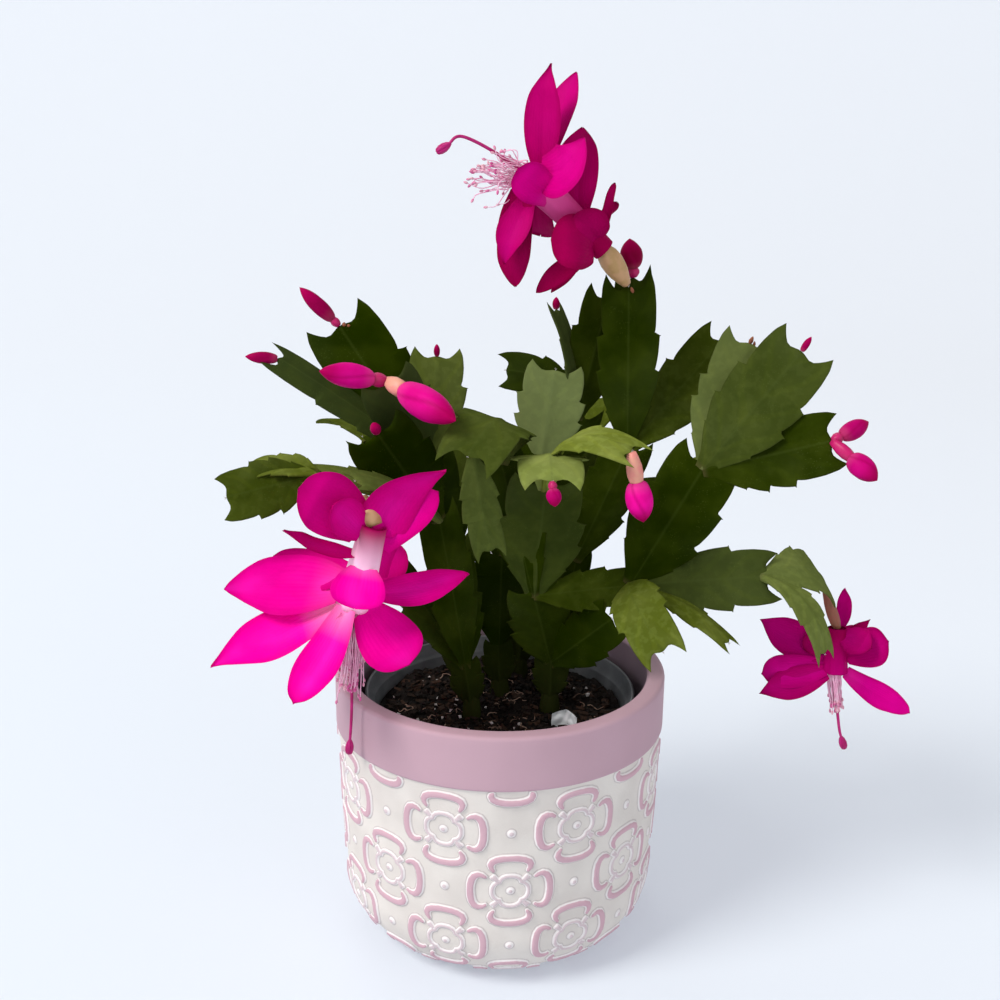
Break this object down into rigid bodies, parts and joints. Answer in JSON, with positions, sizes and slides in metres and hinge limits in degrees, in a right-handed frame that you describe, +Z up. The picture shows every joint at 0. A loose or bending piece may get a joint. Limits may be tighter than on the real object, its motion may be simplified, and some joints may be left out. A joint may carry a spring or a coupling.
{
  "type": "potted christmas cactus",
  "caption": "Flowering leaf cactus with flat toothed stem segments, layered magenta blooms and buds, standing in an embossed round pot.",
  "frame": {"origin": "centre of the pot's underside, where it stands", "axes": "+Z up, -Y towards the front of the plant as pictured, +X to its right"},
  "size_m": [0.2617, 0.171, 0.334],
  "materials": {
    "pot": "matte",
    "inner_pot": "matte",
    "soil": "matte",
    "label": "matte",
    "stem": "satin",
    "petals": "satin",
    "bud": "satin",
    "ovary": "satin",
    "stamens": "satin",
    "style": "satin"
  },
  "bodies": {
    "root": {"back_stem": "stem", "bud_arch": "bud", "bud_arch_ovary": "ovary", "bud_behind": "bud", "bud_behind_ovary": "ovary", "bud_centre": "bud", "bud_hanging": "bud", "bud_hanging_ovary": "ovary", "bud_left_big": "bud", "bud_left_big_ovary": "ovary", "bud_left_front": "bud", "bud_left_inner": "bud", "bud_left_inner_ovary": "ovary", "bud_left_long": "bud", "bud_left_top": "bud", "bud_left_top_ovary": "ovary", "bud_left_upper": "bud", "bud_right_broad": "bud", "bud_right_lower": "bud", "bud_right_lower_ovary": "ovary", "bud_right_upper": "bud", "bud_right_upper_ovary": "ovary", "centre_stem": "stem", "inner_pot": "inner_pot", "label": "label", "left_bloom_ovary": "ovary", "left_bloom_petals": "petals", "left_bloom_stamens": "stamens", "left_bloom_style": "style", "left_stem": "stem", "pot": "pot", "rear_stem": "stem", "right_bloom_ovary": "ovary", "right_bloom_petals": "petals", "right_bloom_stamens": "stamens", "right_bloom_style": "style", "right_stem": "stem", "soil": "soil", "tall_stem": "stem", "top_bloom_ovary": "ovary", "top_bloom_petals": "petals", "top_bloom_stamens": "stamens", "top_bloom_style": "style"}
  },
  "joints": []
}
